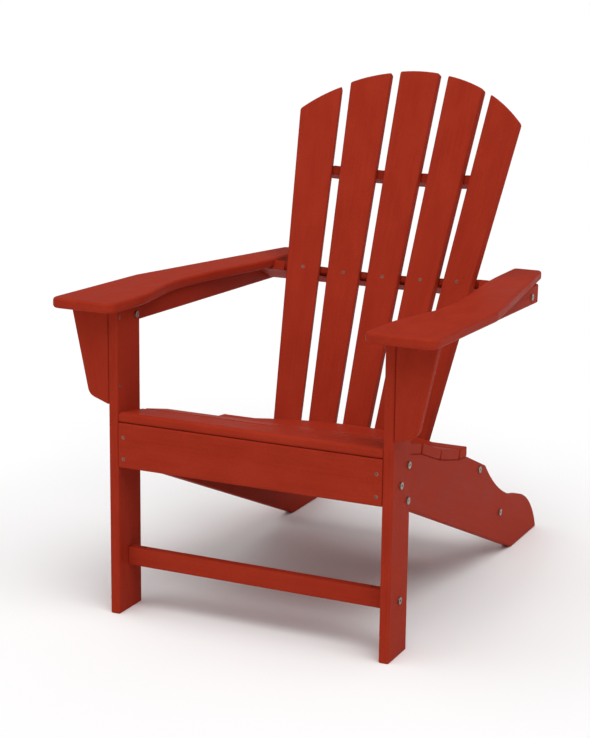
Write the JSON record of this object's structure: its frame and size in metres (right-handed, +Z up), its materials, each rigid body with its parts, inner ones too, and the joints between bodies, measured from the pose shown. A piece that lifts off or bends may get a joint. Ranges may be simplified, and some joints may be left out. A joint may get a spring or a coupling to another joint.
{
  "type": "adirondack chair",
  "caption": "Fan-back adirondack chair of flat plastic lumber boards with a contoured slatted seat, arched back, wide arms and long rear stringers.",
  "frame": {"origin": "middle of the chair's bounding box in plan, on the ground it stands on", "axes": "+Z up, -Y the way the sitter faces (the front apron's side), +Y to the reclined back and the rear feet, +X to the right seen from the front"},
  "size_m": [0.794, 0.9832, 1.0312],
  "materials": {
    "lumber": "satin",
    "hardware": "satin"
  },
  "bodies": {
    "root": {"leg_left": "lumber", "leg_right": "lumber", "apron": "lumber", "stretcher": "lumber", "stringer_left": "lumber", "stringer_right": "lumber", "seat_slat_1": "lumber", "seat_slat_2": "lumber", "seat_slat_3": "lumber", "seat_slat_4": "lumber", "seat_slat_5": "lumber", "back_slat_1": "lumber", "back_slat_2": "lumber", "back_slat_3": "lumber", "back_slat_4": "lumber", "back_slat_5": "lumber", "lower_rail": "lumber", "middle_rail": "lumber", "upper_rail": "lumber", "rear_brace": "lumber", "arm_left": "lumber", "arm_right": "lumber", "arm_rail_left": "lumber", "arm_rail_right": "lumber", "bracket_left": "lumber", "bracket_right": "lumber", "leg_bolts": "hardware", "leg_nuts": "hardware", "cross_bolts": "hardware", "barrel_nuts": "hardware", "rail_bolts": "hardware", "rail_inserts": "hardware", "apron_screws": "hardware", "seat_screws": "hardware", "back_screws_low": "hardware", "back_screws_mid": "hardware", "back_screws_top": "hardware", "bracket_screws": "hardware", "arm_screws": "hardware"}
  },
  "joints": []
}
